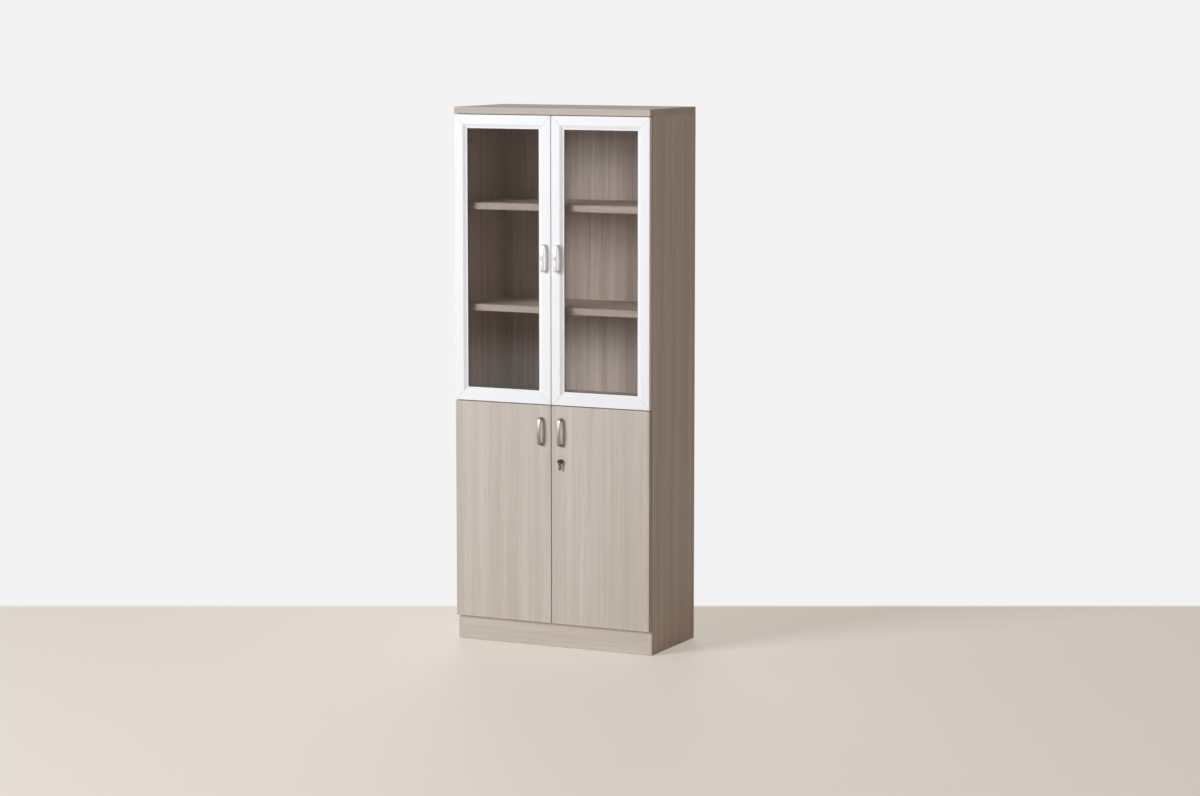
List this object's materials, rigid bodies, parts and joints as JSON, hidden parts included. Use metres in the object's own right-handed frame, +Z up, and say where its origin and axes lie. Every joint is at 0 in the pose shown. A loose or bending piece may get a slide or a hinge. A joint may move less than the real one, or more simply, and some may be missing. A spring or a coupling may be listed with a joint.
{
  "type": "bookcase cabinet with glazed upper doors",
  "caption": "Tall wood-grain office bookcase: white-framed glass doors above, board doors with bow handles and a key lock below, loose shelves inside.",
  "frame": {"origin": "centre of the bounding box at floor level, doors closed", "axes": "+Z up, -Y out of the doors, +X to the right when facing the doors"},
  "size_m": [0.8, 0.425, 2],
  "materials": {
    "laminate": "textured melamine wood grain",
    "back_board": "printed fibreboard",
    "zinc_steel": "zinc plated steel",
    "nickel_steel": "nickel plated pressed steel",
    "zinc_cast": "die-cast zinc",
    "beech": "plain beech",
    "black_plastic": "moulded",
    "clear_bumper": "soft clear polyurethane",
    "white_foil": "smooth matt foil on fibreboard",
    "clear_glass": "clear float glass",
    "white_bead": "soft glazing bead",
    "bright_chrome": "polished",
    "satin_nickel": "satin nickel",
    "nickel_lock": "satin nickel"
  },
  "bodies": {
    "carcass": {"side_panel_left": "laminate", "side_panel_right": "laminate", "top_panel": "laminate", "middle_panel": "laminate", "bottom_panel": "laminate", "plinth": "laminate", "back_panel_upper": "back_board", "back_panel_lower": "back_board", "shelf_upper": "laminate", "shelf_centre": "laminate", "shelf_lower": "laminate", "shelf_pins": "zinc_steel", "cam_fittings": "zinc_cast", "cam_bolts": "zinc_steel", "dowels": "beech", "floor_glides": "black_plastic", "door_bumpers": "clear_bumper", "hinge_plates": "zinc_steel", "hinge_arms": "zinc_steel"},
    "upper_right_door": {"upper_right_stile_hinge": "white_foil", "upper_right_stile_meeting": "white_foil", "upper_right_rail_top": "white_foil", "upper_right_rail_bottom": "white_foil", "upper_right_glass": "clear_glass", "upper_right_bead": "white_bead", "upper_right_handle": "bright_chrome", "upper_right_handle_screws": "zinc_steel", "upper_right_hinge_cups": "nickel_steel"},
    "upper_left_door": {"upper_left_stile_hinge": "white_foil", "upper_left_stile_meeting": "white_foil", "upper_left_rail_top": "white_foil", "upper_left_rail_bottom": "white_foil", "upper_left_glass": "clear_glass", "upper_left_bead": "white_bead", "upper_left_handle": "bright_chrome", "upper_left_handle_screws": "zinc_steel", "upper_left_hinge_cups": "nickel_steel"},
    "lower_right_door": {"lower_right_door": "laminate", "lower_right_handle": "satin_nickel", "lower_right_handle_screws": "zinc_steel", "lower_right_hinge_cups": "nickel_steel", "lock_body": "nickel_lock", "lock_nut": "zinc_steel"},
    "lower_left_door": {"lower_left_door": "laminate", "lower_left_handle": "satin_nickel", "lower_left_handle_screws": "zinc_steel", "lower_left_hinge_cups": "nickel_steel", "latch_body": "zinc_steel", "latch_screws": "zinc_steel"},
    "upper_right_links": {"upper_right_hinge_links": "nickel_steel"},
    "upper_left_links": {"upper_left_hinge_links": "nickel_steel"},
    "lower_right_links": {"lower_right_hinge_links": "nickel_steel"},
    "lower_left_links": {"lower_left_hinge_links": "nickel_steel"},
    "lock_barrel": {"lock_plug": "nickel_lock", "lock_tongue": "zinc_steel", "tongue_screw": "zinc_steel"},
    "key": {"key_blade": "nickel_lock", "key_hub": "black_plastic"},
    "key_grip": {"key_bow": "black_plastic"},
    "latch_bolt": {"latch_rod": "zinc_steel"}
  },
  "joints": [
    {"name": "upper_right_door_hinge", "type": "hinge", "parent": "carcass", "child": "upper_right_door", "pos_m": [0.392, -0.179, 1.4415], "axis": [0, 0, 1], "range_deg": [0, 100]},
    {"name": "upper_right_link_pivot", "type": "hinge", "parent": "carcass", "child": "upper_right_links", "pos_m": [0.379, -0.172, 1.4415], "axis": [0, 0, 1], "range_deg": [0, 105]},
    {"name": "lower_right_door_hinge", "type": "hinge", "parent": "carcass", "child": "lower_right_door", "pos_m": [0.392, -0.179, 0.50025], "axis": [0, 0, 1], "range_deg": [0, 100]},
    {"name": "lower_right_link_pivot", "type": "hinge", "parent": "carcass", "child": "lower_right_links", "pos_m": [0.379, -0.172, 0.50025], "axis": [0, 0, 1], "range_deg": [0, 105]},
    {"name": "upper_left_door_hinge", "type": "hinge", "parent": "carcass", "child": "upper_left_door", "pos_m": [-0.392, -0.179, 1.4415], "axis": [0, 0, -1], "range_deg": [0, 100]},
    {"name": "upper_left_link_pivot", "type": "hinge", "parent": "carcass", "child": "upper_left_links", "pos_m": [-0.379, -0.172, 1.4415], "axis": [0, 0, -1], "range_deg": [0, 105]},
    {"name": "lower_left_door_hinge", "type": "hinge", "parent": "carcass", "child": "lower_left_door", "pos_m": [-0.392, -0.179, 0.50025], "axis": [0, 0, -1], "range_deg": [0, 100]},
    {"name": "lower_left_link_pivot", "type": "hinge", "parent": "carcass", "child": "lower_left_links", "pos_m": [-0.379, -0.172, 0.50025], "axis": [0, 0, -1], "range_deg": [0, 105]},
    {"name": "lock_turn", "type": "hinge", "parent": "lower_right_door", "child": "lock_barrel", "pos_m": [0.041, -0.1875, 0.704], "axis": [0, 1, 0], "range_deg": [0, 90]},
    {"name": "key_pull", "type": "slide", "parent": "lock_barrel", "child": "key", "axis": [0, -1, 0], "range_m": [0, 0.028]},
    {"name": "key_fold", "type": "hinge", "parent": "key", "child": "key_grip", "pos_m": [0.041, -0.1998, 0.704], "axis": [-1, 0, 0], "range_deg": [0, 90]},
    {"name": "latch_slide", "type": "slide", "parent": "lower_left_door", "child": "latch_bolt", "axis": [0, 0, 1], "range_m": [0, 0.009]}
  ],
  "couplings": [
    {"joint": "upper_right_link_pivot", "follows": "upper_right_door_hinge", "ratio": 1.05},
    {"joint": "lower_right_link_pivot", "follows": "lower_right_door_hinge", "ratio": 1.05},
    {"joint": "upper_left_link_pivot", "follows": "upper_left_door_hinge", "ratio": 1.05},
    {"joint": "lower_left_link_pivot", "follows": "lower_left_door_hinge", "ratio": 1.05}
  ]
}
